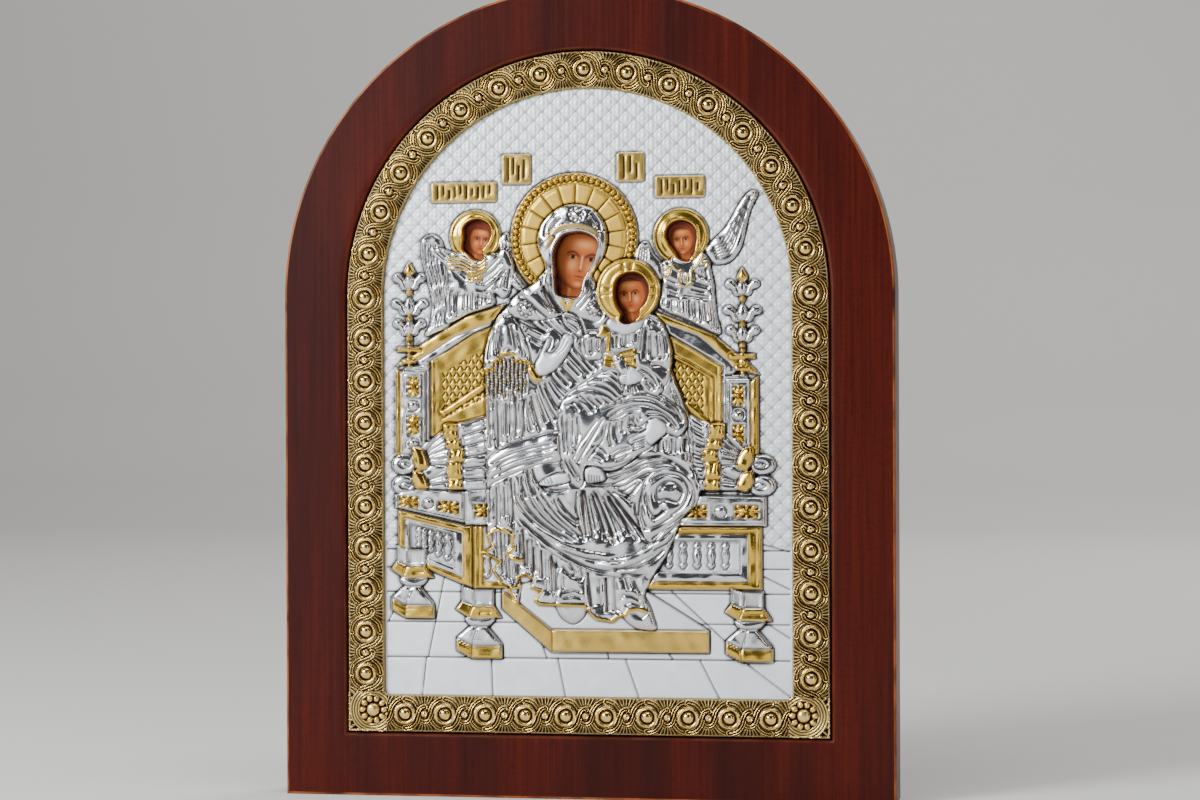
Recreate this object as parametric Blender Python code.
"""Arched icon panel: a veneered board, an embossed metal cover let into its face, and the painted
print that shows through the cover's openings. It stands on its underside, facing -Y."""

import math

import bpy
import numpy as np
from mathutils import Vector
from mathutils.geometry import delaunay_2d_cdt

# Driving dimensions, in metres
BOARD_WIDTH = 0.200
SPRING_HEIGHT = 0.163
BOARD_THICKNESS = 0.020
RAIL_WIDTH = 0.0205
POCKET_DEPTH = 0.0045
OUTER_ROUND = 0.0007
POCKET_ROUND = 0.0010
FIT_GAP = 0.0003
PRINT_THICKNESS = 0.0008
GROUND_SINK = 0.0016
BAND_WIDTH = 0.0125
BAND_EDGE_RISE = 0.0012
BAND_CROWN_RISE = 0.0024
BOSS_PROUD = 0.0020
BOSS_RADIUS = 0.0023
SMALL_BOSS_RADIUS = 0.0010
BOSS_PITCH = 0.0141
ROSETTE_RADIUS = 0.0056
RELIEF_SCALE = 1.0
ARCH_STEPS = 56

# The picture is drawn in millimetres on a board of these sizes, and follows the real ones
DRAWN_HALF = 79.5
DRAWN_FOOT = 20.5
DRAWN_SPRING = 163.0
MM = 0.001
EDGE_RUN = 0.28

# Small distances of the cover's mesh, in metres
MERGE_DISTANCE = 1e-5
OUTLINE_STEP = 0.008
BAND_LIP = 0.0011
BAND_FOOT = 0.0008
FIELD_FOOT = 0.0003
BOSS_LEAD = 0.0002
CORNER_IN = 0.0028
CORNER_UP = 0.0014
SIDE_SPARE = 0.0008
FOOT_SPARE = 0.0010

half_width = BOARD_WIDTH / 2
board_front = (BOSS_PROUD - BOARD_THICKNESS) / 2
board_back = board_front + BOARD_THICKNESS
pocket_floor = board_front + POCKET_DEPTH
print_front = pocket_floor - FIT_GAP - PRINT_THICKNESS
cover_back = print_front - FIT_GAP
ground = board_front + GROUND_SINK
pocket_offset = RAIL_WIDTH
cover_offset = pocket_offset + FIT_GAP
field_offset = cover_offset + BAND_WIDTH
band_offset = cover_offset + BAND_WIDTH / 2
scale_across = (half_width - RAIL_WIDTH) / (DRAWN_HALF * MM)
scale_up = (SPRING_HEIGHT - RAIL_WIDTH) / ((DRAWN_SPRING - DRAWN_FOOT) * MM)


def clear_scene():
    """Removes whatever the file holds."""
    for thing in list(bpy.data.objects):
        bpy.data.objects.remove(thing)


def material(name, colour, roughness, metallic):
    """A plain Principled material."""
    made = bpy.data.materials.new(name)
    made.use_nodes = True
    shader = made.node_tree.nodes["Principled BSDF"]
    shader.inputs["Base Color"].default_value = (*colour, 1)
    shader.inputs["Roughness"].default_value = roughness
    shader.inputs["Metallic"].default_value = metallic
    return made


def add_object(name, points, faces, look, crease_deg=30):
    """One closed body from its points and faces, shaded smooth up to a crease angle."""
    mesh = bpy.data.meshes.new(name)
    mesh.from_pydata(points, [], faces)
    mesh.materials.append(look)
    mesh.shade_smooth()
    mesh.set_sharp_from_angle(angle=math.radians(crease_deg))
    thing = bpy.data.objects.new(name, mesh)
    bpy.context.scene.collection.objects.link(thing)
    return thing


def arch_outline(offset, steps=ARCH_STEPS, side_step=None):
    """The arch shape set in from the board's edge by offset: foot, right side, arch, left side."""
    reach = half_width - offset
    rows = max(1, round((SPRING_HEIGHT - offset) / side_step)) if side_step else 1
    cols = max(1, round(2 * reach / side_step)) if side_step else 1
    points = [(-reach + 2 * reach * i / cols, offset) for i in range(cols)]
    climb = SPRING_HEIGHT - offset
    points += [(reach, offset + climb * i / rows) for i in range(rows)]
    turns = [math.pi * i / steps for i in range(steps)]
    points += [(reach * math.cos(a), SPRING_HEIGHT + reach * math.sin(a)) for a in turns]
    points += [(-reach, offset + climb * i / rows) for i in range(rows, 0, -1)]
    return points


def loft(rings):
    """Points and faces of a body whose rings are (outline, y), closed at both ends."""
    count = len(rings[0][0])
    points = [(x, y, z) for outline, y in rings for x, z in outline]
    faces = [tuple(range(count))]
    for k in range(len(rings) - 1):
        for i in range(count):
            j = (i + 1) % count
            faces.append((k * count + j, k * count + i, (k + 1) * count + i, (k + 1) * count + j))
    last = (len(rings) - 1) * count
    faces.append(tuple(last + i for i in reversed(range(count))))
    return points, faces


def rounded(offset, y, radius, outward, steps=3):
    """Rings that turn an edge of the given radius between the face at y and the wall at offset."""
    rings = []
    for i in range(steps + 1):
        turn = math.pi / 2 * i / steps
        into = radius * (1 - math.sin(turn))
        back = radius * (1 - math.cos(turn))
        if outward:
            rings.append((arch_outline(offset + back), y + into))
        else:
            rings.append((arch_outline(offset - into), y + back))
    return rings


def build_board():
    """The arched board with its rounded arrises and the pocket for the cover."""
    rings = [(arch_outline(OUTER_ROUND), board_back)]
    rings.append((arch_outline(0), board_back - OUTER_ROUND))
    rings += rounded(0, board_front, OUTER_ROUND, True)
    rings += rounded(pocket_offset, board_front, POCKET_ROUND, False)
    rings.append((arch_outline(pocket_offset), pocket_floor))
    points, faces = loft(list(reversed(rings)))
    look = material("mahogany_veneer", (0.11, 0.018, 0.008), 0.35, 0)
    return add_object("arched_board", points, faces, look)


def build_print():
    """The thin painted print on the pocket's floor."""
    outline = arch_outline(cover_offset)
    points, faces = loft([(outline, print_front), (outline, print_front + PRINT_THICKNESS)])
    return add_object("painted_print", points, faces, material("icon_print", (0.33, 0.11, 0.04), 0.5, 0))


def picture(point):
    """A point drawn in millimetres, as a place on the real cover in metres."""
    x, z = point
    across = x * MM * scale_across
    if z <= DRAWN_SPRING:
        return across, RAIL_WIDTH + (z - DRAWN_FOOT) * MM * scale_up
    return across, SPRING_HEIGHT + (z - DRAWN_SPRING) * MM * scale_across


def smooth(points, closed=True, steps=2):
    """A Catmull-Rom curve through the points."""
    count = len(points)
    made = []
    for i in range(count if closed else count - 1):
        if closed:
            near = [points[(i + k) % count] for k in (-1, 0, 1, 2)]
        else:
            near = [points[min(max(i + k, 0), count - 1)] for k in (-1, 0, 1, 2)]
        a, b, c, d = (np.array(p, float) for p in near)
        for s in range(steps):
            t = s / steps
            made.append(tuple(0.5 * (2 * b + (c - a) * t + (2 * a - 5 * b + 4 * c - d) * t * t
                                     + (3 * b - a - 3 * c + d) * t ** 3)))
    if not closed:
        made.append(tuple(points[-1]))
    return made


def ring(centre, radius, count, turn=0.0):
    """Points of a circle."""
    return [(centre[0] + radius * math.cos(turn + math.tau * i / count),
             centre[1] + radius * math.sin(turn + math.tau * i / count)) for i in range(count)]


def blend_curves(first, last, count, steps=5):
    """Count curves spread evenly from the first open curve to the last."""
    fine = [np.array([np.interp(np.linspace(0, 1, steps + 1), np.linspace(0, 1, len(c)), axis)
                      for axis in np.array(c, float).T]).T for c in (first, last)]
    shares = np.linspace(0, 1, count)
    return [[tuple(p) for p in fine[0] * (1 - s) + fine[1] * s] for s in shares]


def inside(polygon, points):
    """Which of the points lie inside the polygon."""
    xs, zs = points[:, 0], points[:, 1]
    found = np.zeros(len(points), bool)
    for (x0, z0), (x1, z1) in zip(polygon, polygon[1:] + polygon[:1]):
        if z0 == z1:
            continue
        crosses = (z0 > zs) != (z1 > zs)
        found ^= crosses & (xs < (x1 - x0) * (zs - z0) / (z1 - z0) + x0)
    return found


def shifted(polygon, distance):
    """The polygon with its points moved outward by distance, inward where it is negative."""
    count = len(polygon)
    area = sum(a[0] * b[1] - b[0] * a[1] for a, b in zip(polygon, polygon[1:] + polygon[:1]))
    side = 1 if area > 0 else -1
    moved = []
    for i in range(count):
        before, here, after = (np.array(polygon[(i + k) % count]) for k in (-1, 0, 1))
        along = (here - before) / (np.linalg.norm(here - before) + 1e-9)
        along = along + (after - here) / (np.linalg.norm(after - here) + 1e-9)
        along /= np.linalg.norm(along) + 1e-9
        moved.append((here[0] + side * distance * along[1], here[1] - side * distance * along[0]))
    return moved


class Relief:
    """The picture's raised shapes, lowest first, each with the ridges and grooves on it."""

    def __init__(self):
        self.shapes = []
        self.lines = []
        self.openings = []

    def raise_shape(self, outline, rise, crown=0.0):
        """A shape that stands rise millimetres off the ground and swells by crown inside."""
        level = len(self.shapes)
        self.shapes.append((outline, rise))
        self.lines.append((level - 1, shifted(outline, EDGE_RUN), 0.0, True))
        self.lines.append((level, shifted(outline, -EDGE_RUN), 0.0, True))
        if crown:
            self.lines.append((level, shifted(outline, -4 * EDGE_RUN), crown, True))

    def ridge(self, curve, lift, closed=False):
        """A ridge, or a groove where lift is negative, on the shape raised last."""
        self.lines.append((len(self.shapes) - 1, curve, lift, closed))

    def folds(self, first, last, count, lift, steps=5):
        """Ridges and grooves in turn, spread from the first curve to the last."""
        for i, curve in enumerate(blend_curves(first, last, count, steps)):
            self.ridge(curve, lift if i % 2 == 0 else -lift)

    def opening(self, outline):
        """A hole in the sheet, through which the print shows."""
        self.openings.append(outline)


def lily(relief, centre, foot, height, reach):
    """One tier of a finial: a cup with two curling leaves and a swelling bud."""
    right = [(0, 0), (0.45, 0.05), (0.62, 0.45), (1.0, 0.62), (0.95, 0.95), (0.6, 0.95), (0.4, 0.7)]
    outline = [(centre + x * reach, foot + z * height) for x, z in right]
    outline += [(centre, foot + height)]
    outline += [(centre - x * reach, foot + z * height) for x, z in reversed(right[1:])]
    relief.raise_shape(outline, 0.9)
    relief.ridge([(centre, foot + 0.15 * height), (centre, foot + 0.8 * height)], 0.7)


def finial(relief, centre, foot, top):
    """A throne post's finial: three lilies, a cross below them and a bud on top."""
    tall = top - foot
    bar = 4.1
    relief.raise_shape([(centre - bar, foot + 0.15 * tall), (centre + bar, foot + 0.15 * tall),
                        (centre + bar, foot + 0.20 * tall), (centre - bar, foot + 0.20 * tall)], 1.1)
    relief.raise_shape([(centre - 0.7, foot), (centre + 0.7, foot),
                        (centre + 0.7, foot + 0.32 * tall), (centre - 0.7, foot + 0.32 * tall)], 1.0)
    for share, reach in ((0.31, 5.4), (0.50, 6.2), (0.745, 5.5)):
        lily(relief, centre, foot + share * tall, 0.155 * tall, reach)
    bud = [(0, 0), (1.6, 0.04), (1.5, 0.08), (0, 0.135), (-1.5, 0.08), (-1.6, 0.04)]
    relief.raise_shape([(centre + x, foot + (0.875 + z) * tall) for x, z in bud], 1.0, 0.5)


def draw_surroundings(relief):
    """The name plates, the throne and the footstool."""
    for left, right, foot, top in ((-50.8, -29, 193.8, 200.2), (-27.2, -17.7, 199.4, 207.3),
                                   (10.6, 19.5, 199.8, 207.7), (23, 39.2, 194.4, 200.6)):
        relief.raise_shape([(left, foot), (right, foot), (right, top), (left, top)], 0.5)
    finial(relief, -58.2, 139.8, 174.2)
    finial(relief, 51.2, 137.0, 171.2)
    relief.raise_shape([(-60.5, 141), (-51, 149.6), (-39.2, 156.5), (-26.2, 160.6), (-30, 155.2),
                        (-43, 150.2), (-55.7, 141)], 0.9)
    relief.raise_shape([(22.7, 157.7), (41.9, 150.4), (49.5, 143.6), (56, 138), (49.6, 138.2), (40, 147.4),
                        (24.6, 154.6)], 0.9)
    for panel in ([(-51.3, 117.5), (-51.3, 142), (-46, 145.2), (-36.9, 151), (-30, 154), (-31, 125)],
                  [(44.6, 118.8), (44.6, 140), (27.4, 150), (27, 126), (34, 122)]):
        relief.raise_shape(panel, 0.6)
        relief.ridge(shifted(panel, -2.6), 0.5, True)
        relief.ridge(shifted(panel, -3.6), -0.3, True)
    for left, right, foot, top, side in ((-60.9, -52.8, 111, 138.9, -1), (46.2, 53.6, 112, 135.6, 1)):
        relief.raise_shape([(left, foot), (right, foot), (right, top), (left, top)], 1.2)
        middle = (left + right) / 2
        for share in (0.13, 0.6):
            z = top - share * (top - foot)
            relief.ridge([(middle - 2, z - 3), (middle + 2, z - 3), (middle + 2, z + 3), (middle - 2, z + 3)],
                         0.4, True)
        edge = left if side < 0 else right
        strip = sorted((edge + side * 0.3, edge + side * 2.4))
        relief.raise_shape([(strip[0], foot), (strip[1], foot), (strip[1], top), (strip[0], top)], 1.0)
    for side, knot_x, band_x, end_x in ((-1, -60, -42.5, -31), (1, 57.4, 41, 34)):
        for knot_z in (108.3, 101.5):
            relief.raise_shape(ring((knot_x, knot_z), 3.6, 10), 1.2, 0.4)
        cushion = [(knot_x - side * 4, 100.2), (knot_x - side * 4.5, 112), (knot_x - side * 9, 117),
                   (band_x, 121), (end_x, 124.6), (end_x, 100.2)]
        relief.raise_shape(cushion, 1.5)
        knot = (knot_x - side * 6, 106.5)
        for i in range(5):
            z = 103 + 4.3 * i
            relief.ridge([(knot[0], knot[1] + 0.6 * (i - 2)), (band_x + side * 3, z)], 0.5)
            relief.ridge([(band_x - side * 3, z + 0.5), (end_x + side, z + 1)], 0.5)
        band = [(band_x + side * 1.8, 100.4), (band_x + side * 2, 110), (band_x + side * 2.6, 120.6),
                (band_x - side * 0.6, 121.6), (band_x - side * 2, 111), (band_x - side * 1.8, 100.4)]
        relief.raise_shape(band, 2.1)
        for foot, top in ((99.6, 106.2), (106.8, 114)):
            end = knot_x - side * 6
            relief.raise_shape([(end + side * 1.8, foot + 1), (end - side * 2, foot),
                                (end - side * 2.4, top - 2), (end + side * 1.6, top)], 2.1)
    rail_left = [(-63.2, 94.3), (-39.7, 89.3), (-31, 88.8), (-31, 100), (-56, 99.9), (-63.2, 98.2)]
    rail_right = [(30, 88.8), (58.5, 88.8), (58.5, 98), (30, 98.6)]
    box_left = [(-62.2, 78.2), (-37.3, 68), (-26, 68.2), (-26, 88.6), (-38.6, 88.4), (-62.2, 93.4)]
    box_right = [(20, 68.2), (57, 68.2), (57, 88.3), (28, 88.3)]
    for outline, rise in ((box_left, 0.8), (box_right, 0.8), (rail_left, 1.3), (rail_right, 1.3)):
        relief.raise_shape(outline, rise)
    relief.ridge([(-59.5, 80.6), (-41.3, 72.7), (-41.3, 85.8), (-59.5, 90.3)], -0.6, True)
    relief.ridge([(26, 72), (52, 72), (52, 84.8), (28, 84.8)], -0.6, True)
    for x, z, radius in ((-51.9, 95.8, 1.6), (-45.2, 94.2, 2.4), (-34.6, 93.3, 2.4), (44, 93.3, 2),
                         (52.4, 93.3, 2.6)):
        relief.ridge(ring((x, z), radius, 6), 0.5, True)
    for x, foot, wide in ((-57.6, 58.2, 0.94), (-35.5, 45.3, 1.0), (52.8, 45.1, 1.0)):
        pillar = [(-7.3, 2.5), (-2.3, 0), (7.6, 0), (7.6, 4.1), (3, 10.2), (5.2, 10.4), (4.8, 12.6),
                  (7.4, 13.2), (4.8, 17.2), (4.8, 22), (-5.6, 22), (-5.6, 18.4), (-7.5, 15.8),
                  (-3.8, 12.8), (-3.6, 10.4), (-7.3, 6.6)]
        relief.raise_shape([(x + a * wide, foot + b) for a, b in pillar], 1.2)
        relief.ridge([(x - 2.3 * wide, foot + 0.5), (x - 2.3 * wide, foot + 4)], 0.5)
        relief.ridge([(x - 1.6 * wide, foot + 17), (x - 1.6 * wide, foot + 21)], 0.4)
    stool = [(-27.7, 61.6), (-11.4, 47.7), (40, 47.7), (40, 54.8), (19.6, 67.4), (-27.7, 67.7)]
    relief.raise_shape(stool, 0.8)
    relief.ridge([(-27, 66.6), (-11.2, 54.4), (39.4, 54.4)], 0.3)


def draw_angels(relief):
    """The two half figures behind the throne, with their wings and haloes."""
    relief.raise_shape(smooth([(-50.4, 183.3), (-47.3, 181), (-45.6, 172), (-45, 156), (-52.9, 150.5),
                               (-50.6, 159.6), (-52.3, 168.1), (-53.9, 178)]), 1.0)
    relief.folds([(-51.5, 180), (-51.5, 172), (-49.5, 164), (-49.6, 155)],
                 [(-48.4, 179), (-47, 172), (-46.4, 164), (-47, 156)], 4, 0.35)
    relief.raise_shape(smooth([(40, 174.6), (44.6, 172.9), (50, 176.9), (52.3, 184.6), (55.8, 195),
                               (52.3, 194.6), (48.1, 188.1), (43.8, 182.3)]), 1.0)
    relief.folds([(42, 177), (47, 183), (52, 191)], [(46, 175), (50.3, 181), (53.6, 191)], 4, 0.35)
    for wing in ([(-29, 180), (-25.8, 183.5), (-23, 178), (-18.8, 166), (-21, 164.8), (-26, 170)],
                 [(16.9, 173), (18, 178.5), (20.3, 180), (23, 175), (26, 171), (20, 169)]):
        relief.raise_shape(smooth(wing), 0.9)
    bodies = ([(-50.8, 178.5), (-44, 178), (-36, 174.8), (-29, 175.8), (-24.8, 178), (-23.3, 172.7),
               (-25.4, 163.5), (-30, 164.2), (-30.6, 159.8), (-45, 154.6), (-46, 168)],
              [(25.4, 173.4), (29, 174.6), (33.4, 173.4), (38, 176.4), (40.8, 172.3), (42, 164),
               (43.6, 150.2), (25.2, 158.3), (25, 166)])
    for body, (x, z) in zip(bodies, ((-36.1, 182.6), (31.4, 181.8))):
        relief.raise_shape(ring((x, z), 8.6, 18), 0.8)
        relief.ridge(ring((x, z), 7.6, 14), -0.4, True)
        relief.raise_shape(body, 1.5, 0.3)
        relief.folds([(x - 8, z - 19), (x - 7, z - 26)], [(x + 6, z - 17), (x + 10, z - 28)], 9, 0.4, 2)
        relief.ridge([(x - 8, z - 7), (x, z - 12), (x + 4, z - 8)], 0.4)
        relief.ridge([(x - 7, z - 13), (x + 2, z - 16), (x + 8, z - 12)], 0.6)
        relief.opening(smooth([(x, z + 5.4), (x + 4.4, z + 2), (x + 3.4, z - 3.4), (x + 1.8, z - 7),
                               (x - 1, z - 7.4), (x - 3.6, z - 3.6), (x - 4.4, z + 1.4)]))


def draw_mother(relief):
    """The seated figure: halo, veil, cloak with its folds, raised hand, knee and hem."""
    halo = (-3.5, 181.8)
    relief.raise_shape(ring(halo, 20.9, 48), 1.0)
    relief.ridge(ring(halo, 19.2, 40), 0.7, True)
    relief.ridge(ring(halo, 17.4, 36), -0.3, True)
    for i in range(18):
        turn = math.radians(7.6 + 20 * i)
        lift = 0.3 if i % 2 else 0.1
        spoke = [(halo[0] + r * math.cos(turn), halo[1] + r * math.sin(turn)) for r in (12, 16.4)]
        relief.ridge(spoke, -lift)
    for x, foot, wide in ((-4.6, 57, 4.7), (18.6, 55.2, 4.4)):
        relief.raise_shape(smooth([(x, foot), (x + wide, foot + 4), (x + wide, foot + 9),
                                   (x - wide, foot + 9), (x - wide, foot + 4)]), 1.3)
    skirt = [(-32.2, 101), (-32.3, 85.4), (-28.2, 87), (-23.8, 85.2), (-24.6, 78), (-21.4, 77.2),
             (-22.5, 71.5), (-20, 72.6), (-17.5, 71), (-14.6, 67.5), (-16.6, 64.2), (-9.5, 62.8),
             (-0.5, 62.6), (3.6, 58.4), (8.6, 57.6), (14.1, 61.4), (20, 61), (19.1, 66.5),
             (25.9, 78.4), (30.9, 90.2), (20, 100)]
    relief.raise_shape(skirt, 1.7)
    relief.folds([(-20.5, 88), (-20, 76)], [(-1.5, 74), (-1, 65)], 9, 0.6, 2)
    relief.folds([(1.5, 73), (2.2, 62)], [(15, 71), (17, 64)], 6, 0.6, 2)
    cloak = [(-13, 171), (-21.2, 164.2), (-28.8, 156.2), (-32.6, 145), (-32.6, 128), (-31.9, 104),
             (-32.2, 86.2), (-28, 87.4), (-23.6, 86), (-23.2, 91.5), (-16.8, 85.2), (-10.5, 79.7),
             (-3.2, 76.1), (9.5, 72.5), (21.1, 71.6), (25.9, 78.4), (29.5, 86.5), (35, 94), (37.6, 100),
             (36, 105), (34.8, 110), (34.6, 118), (33, 127), (28.6, 138), (28.6, 145), (26.8, 151),
             (24, 155), (15, 158), (4, 165), (2.4, 170), (-5, 172)]
    relief.raise_shape(cloak, 2.1, 0.3)
    relief.folds([(-23, 155), (-30.5, 131), (-31, 90)], [(-22, 154), (-21, 131), (-20.8, 117)], 6, 0.5, 4)
    relief.folds([(-15, 158), (-10, 151), (-4, 146)], [(-19.6, 131), (-13, 121), (-9.6, 118.6)], 9, 0.5, 3)
    relief.folds([(-9.4, 139.6), (-1, 133.6)], [(-14, 135), (-8, 127)], 5, 0.5, 2)
    relief.folds([(-28, 103.5), (-18, 91), (0, 83)], [(-18, 106), (-10, 92), (-1, 88)], 7, 0.5, 4)
    relief.folds([(0.5, 100.5), (1.5, 83)], [(9, 100), (20.6, 84)], 10, 0.6, 3)
    relief.ridge([(-22, 89.4), (-10.9, 81), (-3.2, 77.8), (10.5, 75.6), (20, 78), (28.5, 87)], 0.6)
    relief.ridge([(-20, 92.4), (-9, 84.6), (1, 80.8), (12, 79.4), (21.4, 82.9), (33.4, 93)], -0.5)
    arm = [(-32.4, 108.5), (-30.3, 111.6), (-24.5, 114.8), (-8, 118.9), (-7.2, 110.2), (-22.6, 106),
           (-31.8, 100.8)]
    relief.raise_shape(arm, 2.9, 0.5)
    relief.ridge([(-30.8, 104.8), (-22, 109.4), (-8.6, 112.6)], -0.6)
    knee = smooth([(28.6, 106.2), (34.4, 102.5), (35.6, 96.5), (31.4, 91.2), (21.4, 84), (17, 92), (20, 102)])
    relief.raise_shape(knee, 2.8, 0.4)
    relief.ridge(ring((28.6, 99.4), 3.0, 8), -0.5, True)
    relief.ridge([(20, 92.4), (26.6, 95.4)], 0.3)
    relief.folds([(2, 105), (12, 107.6), (20, 110.4), (33, 108.4)],
                 [(3, 101.5), (12, 101.4), (22, 107.4), (35, 100)], 4, 0.5, 4)
    veil = smooth([(-2.5, 192.5), (-10.8, 189.6), (-15.2, 182), (-13.4, 175), (-13, 169), (-21.2, 164),
                   (-19, 156), (-5.4, 156.6), (3.6, 156), (5.6, 161), (2, 168.6), (7, 176.6), (7.4, 184),
                   (3.8, 190)])
    relief.raise_shape(veil, 2.8, 0.4)
    relief.ridge([(-12.6, 177), (-11.6, 168), (-9, 161), (-5.4, 157.4)], 0.3)
    relief.ridge([(6, 178), (3, 171), (0, 163), (-5.2, 158.4)], 0.3)
    for x, z in ((-2.3, 189.2), (-19, 158.6), (3.7, 158.8)):
        relief.ridge(ring((x, z), 2.4, 8), 0.3, True)
    relief.opening(smooth([(-3, 183.6), (-9.3, 179), (-10, 172.3), (-9.2, 163.7), (-5.4, 162), (-1.4, 163),
                           (0.2, 169), (4, 176.5), (3, 182)]))
    cuff = [(-18.8, 138.8), (-16.9, 140.2), (-14.1, 136.6), (-16.1, 134.9)]
    relief.raise_shape(cuff, 3.0)
    hand = [(-14.2, 137.2), (-16.2, 140.4), (-13.2, 146.2), (-11.4, 148.8), (-12.6, 144.6), (-9.6, 145),
            (-6.4, 150.2), (-3.6, 148.8), (-5.4, 144), (-8.4, 139.4)]
    relief.raise_shape(hand, 3.0)
    for i in range(6):
        x = -31.2 + 2.2 * i
        relief.ridge([(x, 140.2 + 0.3 * i), (x, 129.4)], 0.5)


def draw_child(relief):
    """The child on the figure's arm: halo, tunic, cloak over the legs, scroll and feet."""
    relief.raise_shape(smooth([(6, 153), (12, 157), (20.8, 157), (25.4, 154.4), (27.8, 146), (28.6, 140),
                               (24, 131), (15, 133), (8, 139), (5.6, 146)]), 3.0)
    relief.folds([(9, 153), (9, 145)], [(25.6, 153), (26.6, 140)], 9, 0.4, 3)
    legs = smooth([(-7.6, 126), (-4.6, 130.8), (2, 136), (12, 139), (22, 131), (33.2, 123), (31, 118),
                   (25.4, 117), (21, 113), (14, 108.4), (0.4, 107), (-2, 101.4), (-7, 108.6), (-7.4, 118)])
    relief.raise_shape(legs, 3.0, 0.2)
    relief.folds([(-5.6, 125), (-4.6, 113)], [(0.4, 125), (1.4, 112)], 5, 0.4, 2)
    relief.folds([(-4, 129), (8, 130), (26, 128)], [(8.4, 123.4), (16, 127), (31, 122)], 5, 0.5, 4)
    relief.folds([(-3, 106), (2, 116), (7, 123)], [(0, 108), (7, 116), (12, 124)], 5, 0.4, 3)
    relief.folds([(11, 122), (11, 117)], [(20, 124), (15.6, 118)], 5, 0.4, 1)
    relief.raise_shape(smooth([(15.4, 116.2), (20, 119), (21.4, 122.6), (26, 121.6), (26.6, 119),
                               (21.8, 115.2), (16.6, 114.4)]), 3.4)
    for foot in ([(0.4, 107.4), (3.4, 107.8), (6.4, 106), (6.2, 103), (1, 102.6)],
                 [(-14.8, 102.4), (-8.8, 105.6), (-5, 105.2), (-5.4, 102.6), (-13.4, 101.6)]):
        relief.raise_shape(smooth(foot), 3.3)
    relief.raise_shape([(9.6, 142.6), (11.8, 143.4), (14.6, 139), (12, 137.2)], 3.4)
    relief.raise_shape(smooth([(12.4, 137.4), (15, 139.6), (19, 137), (17, 134.6), (13.6, 134.6)]), 3.4)
    relief.raise_shape(ring((14.4, 164.4), 10.4, 24), 2.4)
    relief.ridge(ring((14.4, 164.4), 9.2, 16), 0.4, True)
    relief.opening(smooth([(15.4, 170.2), (20.4, 167), (20.6, 161.4), (17.6, 156.6), (14, 154), (11.8, 157),
                           (10, 161.6), (10.6, 167)]))


def band_place(along, across, stretch):
    """A point of the band's knotwork: along one of its stretches, across from its middle line."""
    middle = half_width - band_offset
    reach = middle + across
    if stretch == "foot":
        return along, band_offset - across
    if stretch == "arch":
        turn = math.pi - along / middle
        return reach * math.cos(turn), SPRING_HEIGHT + reach * math.sin(turn)
    side = -1 if stretch == "left" else 1
    return side * reach, SPRING_HEIGHT - along


def knot_unit(lines, stretch, at):
    """One domed boss."""
    for share, count, lift in ((1.0, 8, -0.3), (0.62, 6, 0.8)):
        boss = [band_place(at + share * BOSS_RADIUS * math.cos(a), share * BOSS_RADIUS * math.sin(a), stretch)
                for a in np.arange(count) * math.tau / count]
        lines.append((boss, lift, True))
    lines.append(([band_place(at, 0, stretch)], "boss", False))


def knot_link(lines, stretch, at, pitch):
    """The weave between one boss and the next: crossing strands, a small boss and two leaves."""
    grade = pitch / BOSS_PITCH
    weave = ((0, 4.3), (2.6, 3.7), (4.0, 2.0), (5.0, 0), (7.05, 2.0), (9.1, 0), (10.1, -2.0), (11.5, -3.7),
             (14.1, -4.3))
    middle = len(weave) // 2
    for hand in (1, -1):
        strand = []
        for step, (run, out) in enumerate(weave):
            side = -hand if step == middle else hand
            strand.append(band_place(at + run * grade * MM, side * out * MM, stretch))
        lines.append((strand, 0.35, False))
    small = at + pitch / 2
    around = [band_place(small + SMALL_BOSS_RADIUS * math.cos(a), SMALL_BOSS_RADIUS * math.sin(a), stretch)
              for a in np.arange(4) * math.tau / 4]
    lines.append((around, -0.1, True))
    lines.append(([band_place(small, 0, stretch)], 0.6, False))
    for hand in (1, -1):
        leaf = [band_place(small, hand * 2.9 * MM, stretch), band_place(small, hand * 4.8 * MM, stretch)]
        lines.append((leaf, 0.3, False))


def draw_band():
    """The knotwork lines of the whole band, each with its lift in millimetres."""
    lines = []
    corner = half_width - ROSETTE_RADIUS - cover_offset - CORNER_IN
    corner_z = cover_offset + ROSETTE_RADIUS + CORNER_UP
    for side in (-1, 1):
        centre = (side * corner, corner_z)
        lines.append((ring(centre, ROSETTE_RADIUS, 14), 0.5, True))
        lines.append((ring(centre, ROSETTE_RADIUS * 0.78, 12), -0.2, True))
        lines.append((ring(centre, ROSETTE_RADIUS * 0.38, 8), -0.3, True))
        lines.append(([centre], "boss", False))
    arch = math.pi * (half_width - band_offset)
    side_run = SPRING_HEIGHT - corner_z - 2 * ROSETTE_RADIUS - SIDE_SPARE
    foot_run = 2 * (corner - 2 * ROSETTE_RADIUS - FOOT_SPARE)
    for stretch, start, run in (("arch", 0, arch), ("left", 0, side_run), ("right", 0, side_run),
                                ("foot", -foot_run / 2, foot_run)):
        count = max(2, round(run / BOSS_PITCH))
        pitch = run / count
        for i in range(count + 1):
            shared = stretch in ("left", "right") and i == 0
            if not shared:
                knot_unit(lines, stretch, start + i * pitch)
            if i < count:
                knot_link(lines, stretch, start + i * pitch, pitch)
    return lines


def edge_distance(points):
    """How far in from the board's edge each point lies."""
    xs, zs = points[:, 0], points[:, 1]
    below = np.minimum(half_width - np.abs(xs), zs)
    above = half_width - np.hypot(xs, np.maximum(zs - SPRING_HEIGHT, 0))
    return np.where(zs > SPRING_HEIGHT, above, below)


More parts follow.
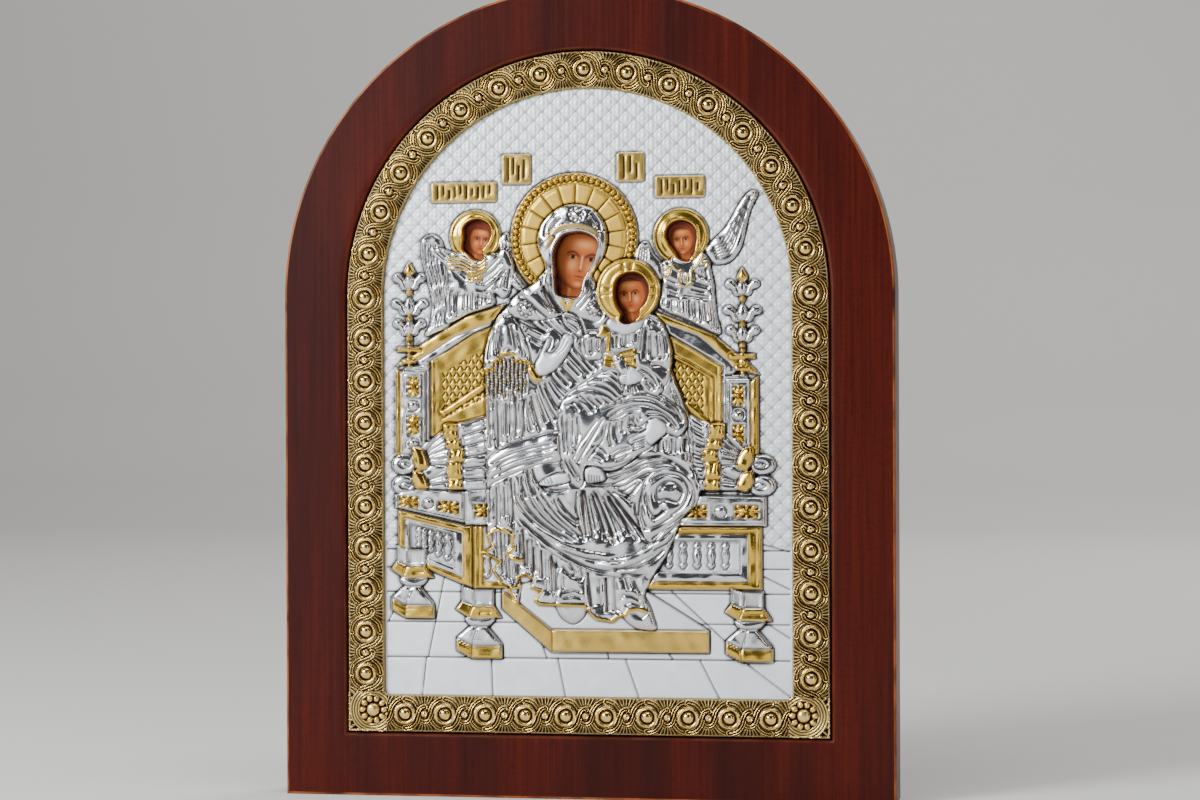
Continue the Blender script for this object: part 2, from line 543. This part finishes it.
def base_height(points, relief):
    """The cover's height over the ground at each point, before ridges and grooves."""
    heights = np.zeros(len(points))
    for outline, rise in relief.shapes:
        heights[inside(outline, points)] = rise * MM * RELIEF_SCALE
    deep = edge_distance(points)
    share = (deep - band_offset) / (BAND_WIDTH / 2)
    crown = BAND_EDGE_RISE + (BAND_CROWN_RISE - BAND_EDGE_RISE) * (1 - np.clip(share, -1, 1) ** 2)
    return np.where(deep < field_offset, crown, heights)


def visible_runs(level, curve, closed, relief, spare):
    """The stretches of a curve that no higher shape and no opening hides."""
    points = np.array(curve)
    hidden = edge_distance(points) < field_offset + spare
    for outline, _ in relief.shapes[level + 1:]:
        hidden |= inside(shifted(outline, EDGE_RUN * MM), points)
    for outline in relief.openings:
        hidden |= inside(shifted(outline, 2 * EDGE_RUN * MM), points)
    if closed and not hidden.any():
        return [curve + curve[:1]]
    runs, run = [], []
    for point, gone in zip(curve + curve[:1] if closed else curve, list(hidden) + [hidden[0]]):
        if gone:
            runs.append(run)
            run = []
        else:
            run.append(point)
    return [r for r in runs + [run] if len(r) > 1]


def place_relief(drawn):
    """The drawn relief with every point at its real place."""
    relief = Relief()
    relief.shapes = [([picture(p) for p in outline], rise) for outline, rise in drawn.shapes]
    for level, curve, lift, closed in drawn.lines:
        relief.lines.append((level, [picture(p) for p in curve], lift, closed))
    relief.openings = [[picture(p) for p in outline] for outline in drawn.openings]
    return relief


class Sketch:
    """Points and lines for the triangulation, with each point's lift over the base height."""

    def __init__(self):
        self.points = []
        self.lifts = []
        self.edges = []
        self.known = {}

    def add(self, curve, lift, closed=False):
        """Adds a curve, whose points join those already in the same place."""
        chain = []
        for x, z in curve:
            place = (round(x / MERGE_DISTANCE), round(z / MERGE_DISTANCE))
            if place not in self.known:
                self.known[place] = len(self.points)
                self.points.append((x, z))
                self.lifts.append(lift)
            chain.append(self.known[place])
        if closed:
            chain.append(chain[0])
        self.edges += [(i, j) for i, j in zip(chain, chain[1:]) if i != j]


def triangulate(points, edges, holes, outline):
    """A constrained triangulation inside the outline and outside the holes."""
    flat = [Vector(p) for p in points]
    made, _, faces, sources, _, _ = delaunay_2d_cdt(flat, edges, [], 0, MERGE_DISTANCE)
    places = np.array([tuple(p) for p in made])
    corners = np.array(faces)
    middles = places[corners].mean(axis=1)
    a, b, c = (places[corners[:, k]] for k in range(3))
    area = (b[:, 0] - a[:, 0]) * (c[:, 1] - a[:, 1]) - (c[:, 0] - a[:, 0]) * (b[:, 1] - a[:, 1])
    longest = np.maximum.reduce([np.hypot(*(q - p).T) for p, q in ((a, b), (b, c), (c, a))])
    keep = inside(outline, middles) & (np.abs(area) > MERGE_DISTANCE / 20 * longest)
    for hole in holes:
        keep &= ~inside(hole, middles)
    turned = np.where(area[:, None] > 0, corners, corners[:, ::-1])
    return places, turned[keep], sources


def build_cover():
    """The embossed cover: its relief in front, flat behind, with the openings for the print."""
    drawn = Relief()
    draw_surroundings(drawn)
    draw_angels(drawn)
    draw_mother(drawn)
    draw_child(drawn)
    relief = place_relief(drawn)
    outline = arch_outline(cover_offset, 48, OUTLINE_STEP)
    sketch = Sketch()
    sketch.add(outline, 0.0, True)
    for hole in relief.openings:
        sketch.add(hole, 0.0, True)
    for offset in (cover_offset + BAND_LIP, field_offset - BAND_FOOT, field_offset + FIELD_FOOT):
        sketch.add(arch_outline(offset, 44, OUTLINE_STEP), 0.0, True)
    for curve, lift, closed in draw_band():
        sketch.add(curve, lift, closed)
    for level, curve, lift, closed in relief.lines:
        for run in visible_runs(level, curve, closed, relief, 2 * EDGE_RUN * MM):
            sketch.add(run, lift)
    places, front, sources = triangulate(sketch.points, sketch.edges, relief.openings, outline)
    heights = base_height(places, relief)
    top = board_front - BOSS_PROUD
    depth = np.zeros(len(places))
    for i, known in enumerate(sources):
        lifts = [sketch.lifts[k] for k in known]
        if "boss" in lifts:
            depth[i] = top
        else:
            lift = max(lifts, key=abs) if lifts else 0.0
            depth[i] = max(ground - heights[i] - lift * MM * RELIEF_SCALE, top + BOSS_LEAD)
    sides = {(int(i), int(j)) for face in front for i, j in zip(face, np.roll(face, -1))}
    rim_edges = [(i, j) for i, j in sides if (j, i) not in sides]
    rim = sorted({i for edge in rim_edges for i in edge})
    order = {i: n for n, i in enumerate(rim)}
    rim_points = [tuple(places[i]) for i in rim]
    back_edges = [(order[i], order[j]) for i, j in rim_edges]
    _, back, known = triangulate(rim_points, back_edges, relief.openings, outline)
    count = len(places)
    points = [(x, depth[i], z) for i, (x, z) in enumerate(places)]
    points += [(x, cover_back, z) for x, z in rim_points]
    faces = [tuple(int(k) for k in face) for face in front]
    faces += [tuple(count + known[k][0] for k in reversed(face)) for face in back]
    faces += [(j, i, count + order[i], count + order[j]) for i, j in rim_edges]
    look = material("silver_gilt", (0.62, 0.60, 0.55), 0.25, 1)
    return add_object("embossed_cover", points, faces, look, 40)


clear_scene()
build_board()
build_print()
build_cover()
